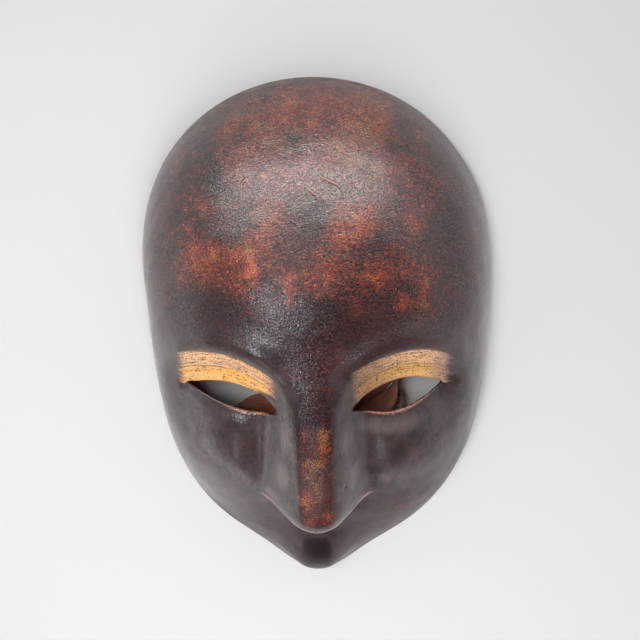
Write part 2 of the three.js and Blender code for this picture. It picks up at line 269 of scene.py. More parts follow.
# Short raised folds of the paper: from and to, on the face (across, up), and their width.
FOLDS = [((4.6, 77.6), (13, 74.3), 1.0), ((-1.6, 74), (3.4, 70.5), 0.9),
         ((-28.4, 76.4), (-31.1, 74.1), 0.8), ((-1.4, 87.9), (0.7, 85.2), 0.7),
         ((-46.1, 67.2), (-38.6, 71), 0.6)]
FOLD_RISE = 0.3
# Pits at the nostrils' place.
PITS = [(-11.5, -48.0), (13.4, -52.2)]
PIT_DEPTH = 0.5
MARK_SPAN = 1.8


def fold_place(x, v, start, end):
    """(share along, mm away) of a face point from the line of a fold."""
    wx, wv = end[0] - start[0], end[1] - start[1]
    s = np.clip(((x - start[0]) * wx + (v - start[1]) * wv) / (wx * wx + wv * wv), 0, 1)
    return s, np.hypot(x - start[0] - s * wx, v - start[1] - s * wv)


def marks(x, v):
    """Height of the folds and pits."""
    h = np.zeros_like(x)
    for start, end, width in FOLDS:
        s, away = fold_place(x, v, start, end)
        h = h + FOLD_RISE * (1 - 1.5 * np.abs(s - 0.5)) * np.exp(-((away / (0.55 * width)) ** 2))
    for pit_x, pit_v in PITS:
        h = h - PIT_DEPTH * np.exp(-((x - pit_x) ** 2 + (v - pit_v) ** 2) / 0.5)
    return h


def by_mark(x, v):
    close = np.zeros(np.shape(x), bool)
    for start, end, _ in FOLDS:
        close |= fold_place(x, v, start, end)[1] < MARK_SPAN
    for pit_x, pit_v in PITS:
        close |= np.hypot(x - pit_x, v - pit_v) < MARK_SPAN
    return close


def fine(x, v, t, p):
    """Small relief of the outside that is finer than the solid's."""
    along, up, above = lid_place(x, v)
    ends = smooth(along, -0.08, 0.15) * (1 - smooth(along, 0.92, 1.06))
    roll = LID["rise"] * np.sin(math.pi * np.clip(up / LID["crease"], 0, 1)) * (above > 0)
    groove = -LID["groove"] * np.exp(-(((up - LID["crease"]) / 0.1) ** 2)) * (above > 0)
    h = (roll + groove) * ends
    share, below = lower_lid_place(x, v)
    sunk = np.exp(-((np.maximum(below, 0) / LOWER_LID["reach"]) ** 2)) * (below > -4)
    h = h - LOWER_LID["sink"] * sunk * smooth(share, -0.1, 0.15) * (1 - smooth(share, 0.95, 1.2))
    h = h + 0.22 * lumps(p, 34, 24, 5) + 0.07 * lumps(p, 11, 30, 9) + marks(x, v)
    return h * (1 - smooth(t, 0.94, 0.99))


def outside(phi, t):
    p = dome(phi, t)
    v = up_face(p)
    h = relief(p[..., 0], v, t, 0)
    small = fine(p[..., 0], v, t, p)
    return p + AHEAD * h[..., None] + dome_normal(phi, t) * small[..., None]


def inside(phi, t):
    p = dome(phi, t) - dome_normal(phi, t) * WALL
    h = relief(p[..., 0], up_face(p), t, WALL)
    return p + AHEAD * h[..., None]


def rim_share(surface, phi):
    low = np.full_like(phi, 0.7)
    high = np.ones_like(phi)
    for _ in range(26):
        mid = (low + high) / 2
        over = surface(phi, mid)[..., 2] > rim_height(phi)
        low = np.where(over, mid, low)
        high = np.where(over, high, mid)
    return (low + high) / 2


def place_on_dome(x, v):
    phi = np.arctan2(v - 20, x)
    t = np.full_like(x, 0.5)
    for _ in range(14):
        p = dome(phi, t)
        a = (dome(phi + 1e-4, t) - p) * 1e4
        b = (dome(phi, t + 1e-4) - p) * 1e4
        miss_x = x - p[..., 0]
        miss_v = v - up_face(p)
        m = (a[..., 0], b[..., 0], up_face(a), up_face(b))
        det = m[0] * m[3] - m[1] * m[2]
        phi = phi + np.clip((miss_x * m[3] - m[1] * miss_v) / det, -0.3, 0.3)
        t = np.clip(t + np.clip((m[0] * miss_v - miss_x * m[2]) / det, -0.2, 0.2), 0.02, 1)
    return phi, t


def eye_outline(eye, steps):
    """Closed almond outline on the face, counterclockwise."""
    s = np.arange(2 * steps)
    upper = s < steps
    share = np.where(upper, s / steps, 2 - s / steps)
    eased = 0.5 - 0.5 * np.cos(math.pi * share)
    x = corner_line(eye, eased, 0)
    corner = corner_line(eye, eased, 1)
    arc = np.maximum(0, np.sin(math.pi * eased ** eye["peak"])) ** 0.85
    sag = np.maximum(0, np.sin(math.pi * eased ** eye["low"])) ** eye["sag"]
    v = np.where(upper, corner + eye["lift"] * arc, corner - eye["drop"] * sag)
    ring = np.stack([eye["side"] * x, v], -1)
    area = np.sum(ring[:, 0] * np.roll(ring[:, 1], -1) - ring[:, 1] * np.roll(ring[:, 0], -1))
    return ring if area > 0 else ring[::-1]


def even_ring(ring, count):
    """The closed ring again as points at equal distances."""
    loop = np.vstack([ring, ring[:1]])
    run = np.concatenate([[0], np.cumsum(np.linalg.norm(np.diff(loop, axis=0), axis=1))])
    at = np.linspace(0, run[-1], count, endpoint=False)
    return np.stack([np.interp(at, run, loop[:, k]) for k in range(2)], -1)


def widened(ring, by):
    """The counterclockwise ring moved outward."""
    along = np.roll(ring, -1, 0) - np.roll(ring, 1, 0)
    out = np.stack([along[:, 1], -along[:, 0]], -1)
    return ring + out / np.linalg.norm(out, axis=1, keepdims=True) * by


# Half sizes of the flat layout in which the faces are cut into triangles.
SPREAD = (105.0, 142.0)


def flat(phi, t):
    return np.stack([t * np.cos(phi) * SPREAD[0], t * np.sin(phi) * SPREAD[1]], -1)


def unflat(q):
    x = q[:, 0] / SPREAD[0]
    y = q[:, 1] / SPREAD[1]
    return np.arctan2(y, x), np.hypot(x, y)


def within(points, ring):
    x, y = points[:, 0], points[:, 1]
    hit = np.zeros(len(points), bool)
    for (ax, ay), (bx, by) in zip(ring, np.roll(ring, -1, 0)):
        if ay == by:
            continue
        cross = (ay > y) != (by > y)
        hit ^= cross & (x < (bx - ax) * (y - ay) / (by - ay) + ax)
    return hit


def distance_to(points, ring):
    best = np.full(len(points), 1e9)
    low = ring.min(0) - 8
    high = ring.max(0) + 8
    near = np.all((points > low) & (points < high), axis=1)
    sub = points[near]
    if len(sub):
        d = np.full(len(sub), 1e9)
        for p, q in zip(ring, np.roll(ring, -1, 0)):
            w = q - p
            s = np.clip(((sub - p) @ w) / max(w @ w, 1e-9), 0, 1)
            d = np.minimum(d, np.linalg.norm(sub - p - s[:, None] * w, axis=1))
        best[near] = d
    return best


# Rows of a grid of even triangles, as a share of the step.
HEX_ROW = 0.8660254


def hex_grid(step):
    xs = np.arange(-SPREAD[0] * 1.02, SPREAD[0] * 1.02, step)
    ys = np.arange(-SPREAD[1] * 1.02, SPREAD[1] * 1.02, step * HEX_ROW)
    gx, gy = np.meshgrid(xs, ys)
    gx = gx + (np.arange(len(ys)) % 2)[:, None] * step / 2
    return np.stack([gx.ravel(), gy.ravel()], -1)


def triangulated(rim, holes, grids):
    """Triangles between the rim and the holes' rings: grids is [(step, where)], finest first."""
    rings = [rim, *holes]
    loose = []
    for k, (step, where) in enumerate(grids):
        q = hex_grid(step)
        keep = where(q)
        for _, finer in grids[:k]:
            keep &= ~finer(q)
        q = q[keep]
        q = q[within(q, rim)]
        for ring in rings:
            q = q[distance_to(q, ring) > step * 0.6]
        for ring in holes:
            q = q[~within(q, ring)]
        loose.append(q)
    points = np.vstack([*rings, *loose])
    edges = []
    start = 0
    for ring in rings:
        n = len(ring)
        edges += [(start + i, start + (i + 1) % n) for i in range(n)]
        start += n
    verts, _, faces, origin, _, _ = delaunay_2d_cdt([Vector(p) for p in points], edges, [], 1, 1e-7)
    back = np.array([o[0] if o else -1 for o in origin])
    tris = back[np.array([f for f in faces if len(f) == 3])]
    middles = points[tris].mean(1)
    keep = np.ones(len(tris), bool)
    for ring in holes:
        keep &= ~within(middles, ring)
    return points, tris[keep]


def bezier(a, b, c, s):
    return a * (1 - s) ** 2 + b * 2 * s * (1 - s) + c * s * s


class Sheet:
    """Collects points and faces of one closed piece."""

    def __init__(self):
        self.points = []
        self.count = 0
        self.faces = []
        self.slots = []

    def add(self, points):
        first = self.count
        self.points.append(np.asarray(points))
        self.count += len(points)
        return np.arange(first, self.count)

    def tris(self, tris, slot):
        self.faces.append(np.asarray(tris))
        self.slots.append(np.full(len(tris), slot))

    def band(self, a, b, slot):
        """Closed strip of triangles between two rings of equal length."""
        an = np.roll(a, -1)
        bn = np.roll(b, -1)
        self.tris(np.stack([a, b, bn], -1), slot)
        self.tris(np.stack([a, bn, an], -1), slot)


def mesh_of(name, points, faces, slots):
    mesh = bpy.data.meshes.new(name)
    mesh.vertices.add(len(points))
    mesh.vertices.foreach_set("co", (np.asarray(points) * 0.001).astype(np.float32).ravel())
    size = faces.shape[1]
    mesh.loops.add(len(faces) * size)
    mesh.loops.foreach_set("vertex_index", faces.astype(np.int32).ravel())
    mesh.polygons.add(len(faces))
    mesh.polygons.foreach_set("loop_start", np.arange(0, len(faces) * size, size, dtype=np.int32))
    mesh.polygons.foreach_set("material_index", slots.astype(np.int32))
    mesh.polygons.foreach_set("use_smooth", np.ones(len(faces), bool))
    mesh.update(calc_edges=True)
    mesh.validate()
    piece = bpy.data.objects.new(name, mesh)
    bpy.context.scene.collection.objects.link(piece)
    return piece


def put(mesh, name, values):
    kind, key = ("FLOAT", "value") if values.ndim == 1 else ("FLOAT_VECTOR", "vector")
    layer = mesh.attributes.new(name, kind, "POINT")
    layer.data.foreach_set(key, values.astype(np.float32).ravel())


EDGE_ROUND = 1.3
RIM_POINTS = 560
EYE_POINTS = 150
ROUND_STEPS = (0.2, 0.4, 0.6, 0.8, 1.0)
# Millimetres that one share of the dome's profile spans near the rim.
RIM_SPAN = 125
OUTER, LINING, EDGE = 0, 1, 2
FINEST_GRID, FINE_GRID, OUTER_GRID, LINING_GRID = 0.36, 0.62, 1.15, 2.3


def everywhere(q):
    return np.ones(len(q), bool)


def near_mark(q):
    p = dome(*unflat(q))
    return by_mark(p[:, 0], up_face(p))


def skin(sheet, surface, rim, holes, grids, slot, inward):
    """Adds one face of the shell, and returns its points' numbers on the rim and round each hole."""
    flat_points, tris = triangulated(rim, holes, grids)
    ids = sheet.add(surface(*unflat(flat_points)))
    a, b, c = (flat_points[tris[:, k]] for k in range(3))
    turn = (b - a)[:, 0] * (c - a)[:, 1] - (b - a)[:, 1] * (c - a)[:, 0]
    keeps = (turn > 0) != inward
    sheet.tris(ids[np.where(keeps[:, None], tris, tris[:, ::-1])], slot)
    ends = np.cumsum([RIM_POINTS] + [EYE_POINTS] * len(holes))
    return np.split(ids[:ends[-1]], ends[:-1])


def close_edge(sheet, outer, inner, corner_out, corner_in, flip):
    """Closes the wall between two rings of points, with both of its corners rounded."""
    points = np.vstack(sheet.points)
    across = corner_in - corner_out
    wall = np.linalg.norm(across, axis=1, keepdims=True)
    reach = across / wall * np.minimum(EDGE_ROUND, wall * 0.42)
    lines = [bezier(points[outer], corner_out, corner_out + reach, s) for s in ROUND_STEPS]
    lines.append((corner_out + corner_in) / 2)
    lines += [bezier(points[inner], corner_in, corner_in - reach, s) for s in reversed(ROUND_STEPS)]
    rings = [outer, *(sheet.add(line) for line in lines), inner]
    for last, ring in zip(rings, rings[1:]):
        pair = (ring, last) if flip else (last, ring)
        sheet.band(*pair, EDGE)


def shell_piece():
    sheet = Sheet()
    even = np.linspace(0, 2 * math.pi, RIM_POINTS, endpoint=False)
    # Ring directions are spaced by the flat layout, so that the rim's triangles come out even.
    phi = unflat(even_ring(flat(even, np.ones_like(even)), RIM_POINTS))[0]
    eye_lines = [even_ring(eye_outline(eye, 200), EYE_POINTS) for eye in EYES]
    holes = [flat(*place_on_dome(*widened(line, EDGE_ROUND).T)) for line in eye_lines]

    def near_detail(q):
        p = dome(*unflat(q))
        close = (np.abs(up_face(p) - nose_edge(p[:, 0])) < 3) & (np.abs(p[:, 0]) < 27)
        for hole in holes:
            close |= distance_to(q, hole) < 2.6
        return close

    t_out = rim_share(outside, phi)
    t_in = rim_share(inside, phi)
    back = EDGE_ROUND / RIM_SPAN
    grids = [(FINEST_GRID, near_mark), (FINE_GRID, near_detail), (OUTER_GRID, everywhere)]
    out_rings = skin(sheet, outside, flat(phi, t_out - back), holes, grids, OUTER, False)
    in_rings = skin(sheet, inside, flat(phi, t_in - back), holes, [(LINING_GRID, everywhere)], LINING, True)
    close_edge(sheet, out_rings[0], in_rings[0], outside(phi, t_out), inside(phi, t_in), False)
    for line, out_ring, in_ring in zip(eye_lines, out_rings[1:], in_rings[1:]):
        place = place_on_dome(*line.T)
        close_edge(sheet, out_ring, in_ring, outside(*place), inside(*place), True)
    points = np.vstack(sheet.points)
    piece = mesh_of("mask", points - MIDDLE, np.vstack(sheet.faces), np.concatenate(sheet.slots))
    return piece, points


# Camera at the photograph's place: nearly overhead, a little toward the crown.
CAMERA_BACK = math.radians(6)
CAMERA_ROLL = 0.017
CAMERA_AIM = np.array([3.2, -2.06, 20.0]) - MIDDLE
CAMERA_DISTANCE = 500.0
SENSOR_WIDTH = 36
PICTURE_WIDTH = 640
FOCAL_PIXELS = 1042.2

back_way = np.array([0, math.sin(CAMERA_BACK), math.cos(CAMERA_BACK)])
up_way = np.array([0, math.cos(CAMERA_BACK), -math.sin(CAMERA_BACK)])
right_way = math.cos(CAMERA_ROLL) * np.array([1.0, 0, 0]) - math.sin(CAMERA_ROLL) * up_way
up_way = math.sin(CAMERA_ROLL) * np.array([1.0, 0, 0]) + math.cos(CAMERA_ROLL) * up_way
eye_place = (CAMERA_AIM + back_way * CAMERA_DISTANCE) * 0.001
camera = bpy.data.objects.new("camera", bpy.data.cameras.new("camera"))
camera.data.lens = FOCAL_PIXELS / PICTURE_WIDTH * SENSOR_WIDTH
camera.data.sensor_width = SENSOR_WIDTH
camera.data.clip_start = 0.01
axes = np.stack([right_way, up_way, back_way, eye_place], -1)
camera.matrix_world = Matrix([*axes.tolist(), [0, 0, 0, 1]])
bpy.context.scene.collection.objects.link(camera)
bpy.context.scene.camera = camera


def centripetal(points, parts):
    """Points of a centripetal Catmull-Rom curve, and their places counted in given points."""
    n = len(points)
    line = []
    at = []
    for k in range(n - 1):
        p1, p2 = points[k], points[k + 1]
        p0 = points[k - 1] if k > 0 else 2 * p1 - p2
        p3 = points[k + 2] if k + 2 < n else 2 * p2 - p1
        d0, d1, d2 = (np.sum((b - a) ** 2) ** 0.25 for a, b in ((p0, p1), (p1, p2), (p2, p3)))
        m1 = ((p1 - p0) / d0 - (p2 - p0) / (d0 + d1) + (p2 - p1) / d1) * d1
        m2 = ((p2 - p1) / d1 - (p3 - p1) / (d1 + d2) + (p3 - p2) / d2) * d1
        for s in np.arange(parts) / parts:
            square = (-3 * p1 + 3 * p2 - 2 * m1 - m2) * s ** 2
            cube = (2 * p1 - 2 * p2 + m1 + m2) * s ** 3
            line.append(p1 + m1 * s + square + cube)
            at.append(k + s)
    line.append(points[-1])
    at.append(n - 1)
    return np.array(line), np.array(at)


def tie_route(tie, spacing):
    """Even points along the tie with its width direction and its face direction at each."""
    glued = []
    for direction in tie["glued"]:
        f = np.array([math.radians(direction)])
        s = np.array([GLUED_SHARE])
        n = dome_normal(f, s)[0]
        p = inside(f, s)[0] - n * GLUED_CLEAR
        glued.append([*p, math.degrees(math.acos(n[2]))])
    places = np.array(glued + [list(p) for p in tie["places"]], float)
    line, at = centripetal(places[:, :3], 40)
    run = np.concatenate([[0], np.cumsum(np.linalg.norm(np.diff(line, axis=0), axis=1))])
    count = int(run[-1] / spacing) + 1
    even = np.linspace(0, run[-1], count)
    where = np.interp(even, run, at)
    points = np.stack([np.interp(even, run, line[:, k]) for k in range(3)], -1)
    rolls = places[:, 3]
    i = np.minimum(np.floor(where).astype(int), len(rolls) - 2)
    roll = np.radians(rolls[i] + (rolls[i + 1] - rolls[i]) * smooth(where - i, 0, 1))
    tangent = unit(np.gradient(points, axis=0))
    level = unit(np.stack([-tangent[:, 1], tangent[:, 0], np.zeros(count)], -1))
    rise = unit(np.cross(tangent, level))
    wide = level * np.cos(roll)[:, None] + rise * np.sin(roll)[:, None]
    face = np.cross(tangent, wide)
    return points, wide, face, run[-1]


def tie_piece(name, tie):
    points, wide, face, length = tie_route(tie, 1.5)
    across = np.linspace(-1, 1, 9)
    top = [(c * TIE_WIDTH / 2, TIE_THICK / 2 * (1 - 0.5 * abs(c) ** 8)) for c in across]
    section = top + [(a, -b) for a, b in reversed(top)]
    rows = np.stack([points + wide * a + face * b for a, b in section], 1)
    count, m = rows.shape[:2]
    verts = rows.reshape(-1, 3)
    faces = []
    for i in range(count - 1):
        for k in range(m):
            n = (k + 1) % m
            faces.append((i * m + k, i * m + n, (i + 1) * m + n, (i + 1) * m + k))
    half = m // 2
    for k in range(half - 1):
        faces.append((k, m - 1 - k, m - 2 - k, k + 1)[::-1])
        base = (count - 1) * m
        faces.append((base + k, base + m - 1 - k, base + m - 2 - k, base + k + 1))
    faces = np.array(faces)
    piece = mesh_of(name + "_satin", verts - MIDDLE, faces, np.zeros(len(faces)))
    along = np.repeat(np.arange(count) * length / (count - 1), m)
    side = np.tile([a for a, _ in section], count)
    put(piece.data, "weave", np.stack([along, side, along * 0], -1))
    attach(piece, "root")
    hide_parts(name)
    path = (points[::2] - MIDDLE) * 0.001
    length * 0.001
    return piece, length


# Materials.
def operator(operation, swapped=False):
    def reckon(self, other):
        pair = (other, self) if swapped else (self, other)
        return self.graph.math(operation, *pair)
    return reckon


class Wire:
    """A number, vector or colour in a node graph, which + - * / and abs() work on."""

    def __init__(self, graph, socket):
        self.graph = graph
        self.socket = socket

    __add__ = __radd__ = operator("ADD")
    __sub__ = operator("SUBTRACT")
    __rsub__ = operator("SUBTRACT", True)
    __mul__ = __rmul__ = operator("MULTIPLY")
    __truediv__ = operator("DIVIDE")

    def __abs__(self):
        return self.graph.math("ABSOLUTE", self)


def srgb(colour):
    return (*(v / 12.92 if v < 0.04045 else ((v + 0.055) / 1.055) ** 2.4 for v in colour), 1)


class Graph:
    """Short words for wiring a material or the surroundings."""

    def __init__(self, tree):
        self.tree = tree

    def feed(self, socket, value):
        if isinstance(value, Wire):
            self.tree.links.new(value.socket, socket)
        else:
            socket.default_value = value

    def node(self, kind, output, inputs, **settings):
        n = self.tree.nodes.new("ShaderNode" + kind)
        for key, value in settings.items():
            setattr(n, key, value)
        for key, value in inputs.items():
            self.feed(n.inputs[key], value)
        return Wire(self, n.outputs[output])

    def math(self, operation, *values):
        return self.node("Math", 0, dict(enumerate(values)), operation=operation)

    def ramp(self, value, low, high, to_low=0.0, to_high=1.0):
        """Smooth step from to_low at low to to_high at high."""
        inputs = {"Value": value, "From Min": low, "From Max": high, "To Min": to_low, "To Max": to_high}
        return self.node("MapRange", "Result", inputs, interpolation_type="SMOOTHSTEP")

    def fall(self, value, low, high):
        return self.ramp(value, low, high, 1.0, 0.0)

    def mix(self, share, a, b):
        """Colour a where the share is 0, and b where it is 1. Plain colours are as on a screen."""
        a, b = (value if isinstance(value, Wire) else srgb(value) for value in (a, b))
        return self.node("Mix", 2, {0: share, 6: a, 7: b}, data_type="RGBA")

    def choose(self, share, a, b):
        """Number a where the share is 0, and b where it is 1."""
        return self.node("Mix", 0, {0: share, 2: a, 3: b}, data_type="FLOAT")

    def attribute(self, name, output="Fac"):
        return self.node("Attribute", output, {}, attribute_name=name)

    def split(self, vector):
        n = self.tree.nodes.new("ShaderNodeSeparateXYZ")
        self.feed(n.inputs[0], vector)
        return [Wire(self, out) for out in n.outputs]

    def joined(self, *parts):
        return self.node("CombineXYZ", 0, dict(enumerate(parts)))

    def vector_math(self, operation, a, b, output="Vector"):
        second = "Scale" if operation == "SCALE" else 1
        return self.node("VectorMath", output, {0: a, second: b}, operation=operation)

    def coords(self, scale=(1, 1, 1), turn=(0, 0, 0)):
        place = self.node("TexCoord", "Object", {})
        return self.node("Mapping", "Vector", {"Vector": place, "Scale": scale, "Rotation": turn})

    def noise(self, vector, scale, detail=3.0, rough=0.5, distortion=0.0):
        inputs = {"Vector": vector, "Scale": scale, "Detail": detail, "Roughness": rough,
                  "Distortion": distortion}
        return self.node("TexNoise", "Fac", inputs)

    def cell_edge(self, vector, scale):
        inputs = {"Vector": vector, "Scale": scale}
        return self.node("TexVoronoi", "Distance", inputs, feature="DISTANCE_TO_EDGE")

    def dress(self, shader, colour, rough, height, strength, distance):
        """Colour, roughness and fine relief of a shader, and the relief's normal."""
        normal = self.node("Bump", 0, {"Height": height, "Strength": strength, "Distance": distance})
        for key, value in (("Base Color", colour), ("Roughness", rough), ("Normal", normal)):
            self.feed(shader.inputs[key], value)
        return normal


def material(name):
    m = bpy.data.materials.new(name)
    m.use_nodes = True
    return m, Graph(m.node_tree), m.node_tree.nodes["Principled BSDF"]


# Patches of paint on the face: across, up, half width, half height, strength, and any turn in degrees.
RED_PATCHES = [
    (0, 99, 30, 7, 0.75), (22, 96, 14, 8, 0.7, -10), (33, 93, 5, 7, 0.6), (1.6, 95.5, 4, 3, 0.7),
    (-10, 100, 5, 3, 0.9, 30), (-22, 92, 12, 8, 0.55, 20), (-39, 91, 6, 2, 0.9, 30), (-34, 80, 6, 5, 0.7),
    (12, 88, 12, 6, 0.6), (36, 82, 14, 9, 0.45), (53, 78, 5, 12, 0.35), (60, 70, 5, 7, 0.45),
    (-8, 80, 26, 9, 0.5), (17, 62, 10, 7, 1.25, 20), (13, 56, 5, 4, 0.8), (23, 60, 4, 4, 0.8),
    (-20, 62, 7, 10, 0.85, -38), (-26.4, 43.6, 3.2, 4.6, 1.9), (-28, 49, 2, 6, 1.1, 6),
    (-33, 50, 14, 5, 0.6, 12), (-53, 46, 6, 12, 0.75), (-49, 65, 5, 4, 0.6), (-44, 48, 3, 4, 0.9),
    (-40, 38, 14, 12, 0.45), (-10, 40, 3, 5, 0.95), (-10, 33, 3, 3, 0.8), (-60, 36, 3, 3, 0.5),
    (-31, 37, 4, 3, 0.6), (4, 42, 9, 10, 0.6), (28, 42, 20, 8, 0.5), (29, 40.5, 2.5, 2, 0.8),
    (50, 32, 6, 9, 0.65), (39.6, 28, 4, 4, 0.9), (18, 27, 6, 8, 0.55, 20), (44, 20, 14, 8, 0.35),
    (-14, 14, 7, 7, 0.3), (-6, 4, 7, 9, 0.15), (10, 10, 9, 10, 0.4), (0, -8, 5, 8, 0.35),
    (45, 58, 5, 5, 0.5), (40, 62, 26, 16, 0.25), (-4.5, -23, 2.5, 5, 1.0), (4, -28, 3, 6, 1.1),
    (0, -42, 6, 14, 0.5), (-4.5, -55, 2.6, 5, 1.6), (2, -56, 6, 10, 0.5), (-3, -66, 3, 3, 1.5),
    (5, -64, 2, 4, 1.5, -30), (-5.4, -39, 2, 4, 0.9), (58, -36, 6, 7, 0.65, -40),
    (48, -49, 9, 7, 0.6, -40), (43, -40, 6, 4, 0.4, -40), (34, -57, 6, 8, 0.6, -30),
    (39.8, -80.6, 2.2, 1.6, 2.6, 20), (29, -89, 10, 4, 0.4, 40), (12, -106, 6, 4, 0.45, 40),
    (-36, -38.5, 3, 4, 0.75, -20), (-29, -36, 3.5, 4, 0.5), (-51, -32, 9, 6, 0.35, 30),
    (-22, -36, 4, 6, 0.45), (-34, -58, 6, 4, 0.4, -30), (-43, -65, 5, 3, 0.4), (-25, -80, 3, 5, 0.65, 30),
    (-33, -79, 4, 3, 0.4),
]
GOLD_PATCHES = [
    (-11, 102, 5, 3, 0.9, 20), (4, 98, 18, 3, 0.5), (-25, 94, 4, 3, 0.9, 20), (-20, 91, 6, 4, 0.6),
    (-17, 89, 5, 3, 0.8, 20), (-49, 88, 5, 4, 0.6, 40), (-46, 80, 7, 3, 0.8, 45),
    (25, 92, 7, 4, 0.8, -10), (11, 89, 6, 4, 0.9), (16, 85, 7, 5, 0.8, -30), (24, 83, 7, 6, 0.7),
    (19, 80, 3, 4, 0.9), (28, 73, 4, 3, 0.5, -30), (60, 70, 5, 5, 0.4), (21, 63, 8, 4, 0.9, -20),
    (5, 66, 8, 3, 0.8, -20), (16.6, 51, 2.5, 2.5, 0.9), (28, 56, 3, 2, 0.5), (45, 58, 5, 5, 0.5),
    (-19, 62, 4, 7, 0.6, -38), (-44, 48, 2.6, 2.6, 1.5), (-33, 52, 9, 3, 0.9, 10),
    (-28, 50, 1.8, 5, 1.2, 6), (-55, 60, 4, 3, 0.7), (-53, 46, 5, 8, 0.5), (-49, 65, 4, 3, 0.8),
    (-14, 52, 12, 9, 0.55), (-15, 39, 5, 4, 0.7), (-52, 22, 6, 6, 0.7), (-38, 20, 9, 5, 0.45, -15),
    (-24.5, 27, 2.5, 3, 0.9), (30, 44, 18, 8, 0.35), (50, 30, 5, 8, 0.5), (45, 22, 9, 6, 0.5),
    (4, -24, 3, 5, 1.4), (3, -30, 4, 7, 0.7), (-4.5, -55, 2, 4, 0.9), (-4.6, -24, 2, 3, 0.9),
    (0, -64, 4, 3, 0.5), (0, -46, 5, 11, 1.15), (54, -38.5, 3, 2, 0.9), (50, -47, 4, 3, 0.3),
    (-36, -40, 2, 2, 0.5), (-25, -80, 2, 3, 0.5), (1, -36, 3, 5, 0.4),
]
# Places that stay nearly bare of colour.
DARK_PATCHES = [
    (-49, 58, 6, 4, 0.9), (-31, 58, 9, 4, 0.9, 25), (-40.5, 47.5, 3, 4, 0.8), (-40, 29, 14, 7, 1.0),
    (-2, 26, 12, 8, 0.9), (3, 62, 8, 6, 0.7), (29, 53, 13, 3.5, 1.0, 32), (14, 33, 8, 5, 0.8),
    (2, 24, 16, 7, 0.9), (27, 21, 16, 6, 0.9), (42, 34.6, 3.5, 4, 0.8), (-44, 75, 6, 6, 0.7),
    (-50, 83, 5, 5, 0.6), (-8, 89, 6, 3, 0.7), (9, 95, 5, 3, 0.8), (43, 88, 5, 4, 0.6),
    (50, 82, 8, 4, 0.6, -30), (37, 84, 4, 3, 0.6), (60, 75, 6, 4, 0.7), (-22, 103, 3, 6, 0.8),
    (-30, 12, 26, 8, 0.8, -8), (34, 12, 26, 6, 0.7, 6), (-6, -10, 5, 8, 0.6), (6, -12, 5, 6, 0.6),
    # The patch at (0, -102) keeps the painted dark reflection under the nose clear of speckle.
    (0, -18, 8, 4, 0.8), (-10, 17, 7, 8, 0.9), (-2, -8, 6, 6, 0.7), (0, -102, 9, 12, 1.4),
    (56, 50, 12, 14, 0.4), (-58, 10, 12, 22, 0.6),
]
# Painted sheen: pale grey patches that stand in for reflections of the bright surroundings on the cheeks,
# the nose and its sides.
SHEEN_PATCHES = [
    (39, -29, 13, 5, 0.8, 6), (25, -27, 6, 4, 0.5), (-50, -43, 9, 10, 0.5, 20),
    (-37, -51, 8, 9, 0.25, 20), (-42, -24, 10, 3, 0.35, -5), (-22, -61, 4, 3, 0.7),
    (21.5, -66, 3, 4, 0.8, -30), (0, -47, 6, 16, 0.75), (0, -24, 5, 7, 0.5), (-13.5, -28, 3, 10, 0.8),
    (-15.5, -48, 4, 8, 0.8), (14, -30, 3, 9, 0.65), (17, -50, 4, 8, 0.65), (-60, -30, 5, 8, 0.4),
]


def patches(x, v, spots):
    total = np.zeros_like(x)
    for cx, cv, wide, tall, strength, *turn in spots:
        angle = math.radians(sum(turn))
        c, s = math.cos(angle), math.sin(angle)
        a = (x - cx) * c + (v - cv) * s
        b = (v - cv) * c - (x - cx) * s
        total += strength * np.exp(-((a / wide) ** 2) - (b / tall) ** 2)
    return total


def paint_layers(mesh, points):
    """Puts on the mesh where each kind of paint lies, for the material to break up."""
    x = points[:, 0]
    v = up_face(points)
    brow_up = smooth(v, 18, 42) * (1 - smooth(np.abs(x + 2), 48, 76))
    put(mesh, "red", np.clip(patches(x, v, RED_PATCHES) * 0.8 + 0.3 * brow_up, 0, 2.6))
    for name, spots, most in (("gold", GOLD_PATCHES, 2), ("dark", DARK_PATCHES, 1.4),
                              ("pale", SHEEN_PATCHES, 1)):
        put(mesh, name, np.clip(patches(x, v, spots), 0, most))
    along, up, above = lid_place(x, v)
    put(mesh, "lid", np.stack([along, np.clip(up, -3, 9), above], -1))
    share, below = lower_lid_place(x, v)
    nose_line = np.where(np.abs(x) < 26, v - nose_edge(x), 99.0)
    put(mesh, "edges", np.stack([share, below, nose_line], -1))
    put(mesh, "side", np.sign(x))
    # Cheeks, sockets and the nose's sides were wiped smooth, with little speckle.
    ridge = smooth(np.abs(x + 0.4) + 1.3 * lumps(points, 10, 20, 31), 5.8, 9.8)
    low = 1 - smooth(v, 0, 26)
    chin = 1 - smooth(v, -80, -72)
    put(mesh, "calm", np.clip(np.maximum(ridge * low, chin), 0, 1))
    # A painted dark reflection: a rounded near-black patch under the nose.
    blot = ((np.abs(x) / 7.6) ** 3 + (np.abs(v + 98.5) / 8.6) ** 3) ** (1 / 3)
    put(mesh, "blot", 1 - smooth(blot, 0.55, 1.35))
    put(mesh, "nose", 1 - smooth(v, -14, 6))
    # The jaw's edge and the chin have lost most of their gloss.
    put(mesh, "matte", smooth(-v + 0.25 * x, 56, 86) * np.maximum(smooth(np.abs(x), 11, 20), chin))


# Chips at the rim that show the orange under-colour: from and to, and how far they reach to a side.
CHIPS = [((-25, 105), (-22.5, 105.4), 1.6), ((20, 106), (24, 105.6), 1.0), ((28, 104.2), (42, 97.6), 0.9)]


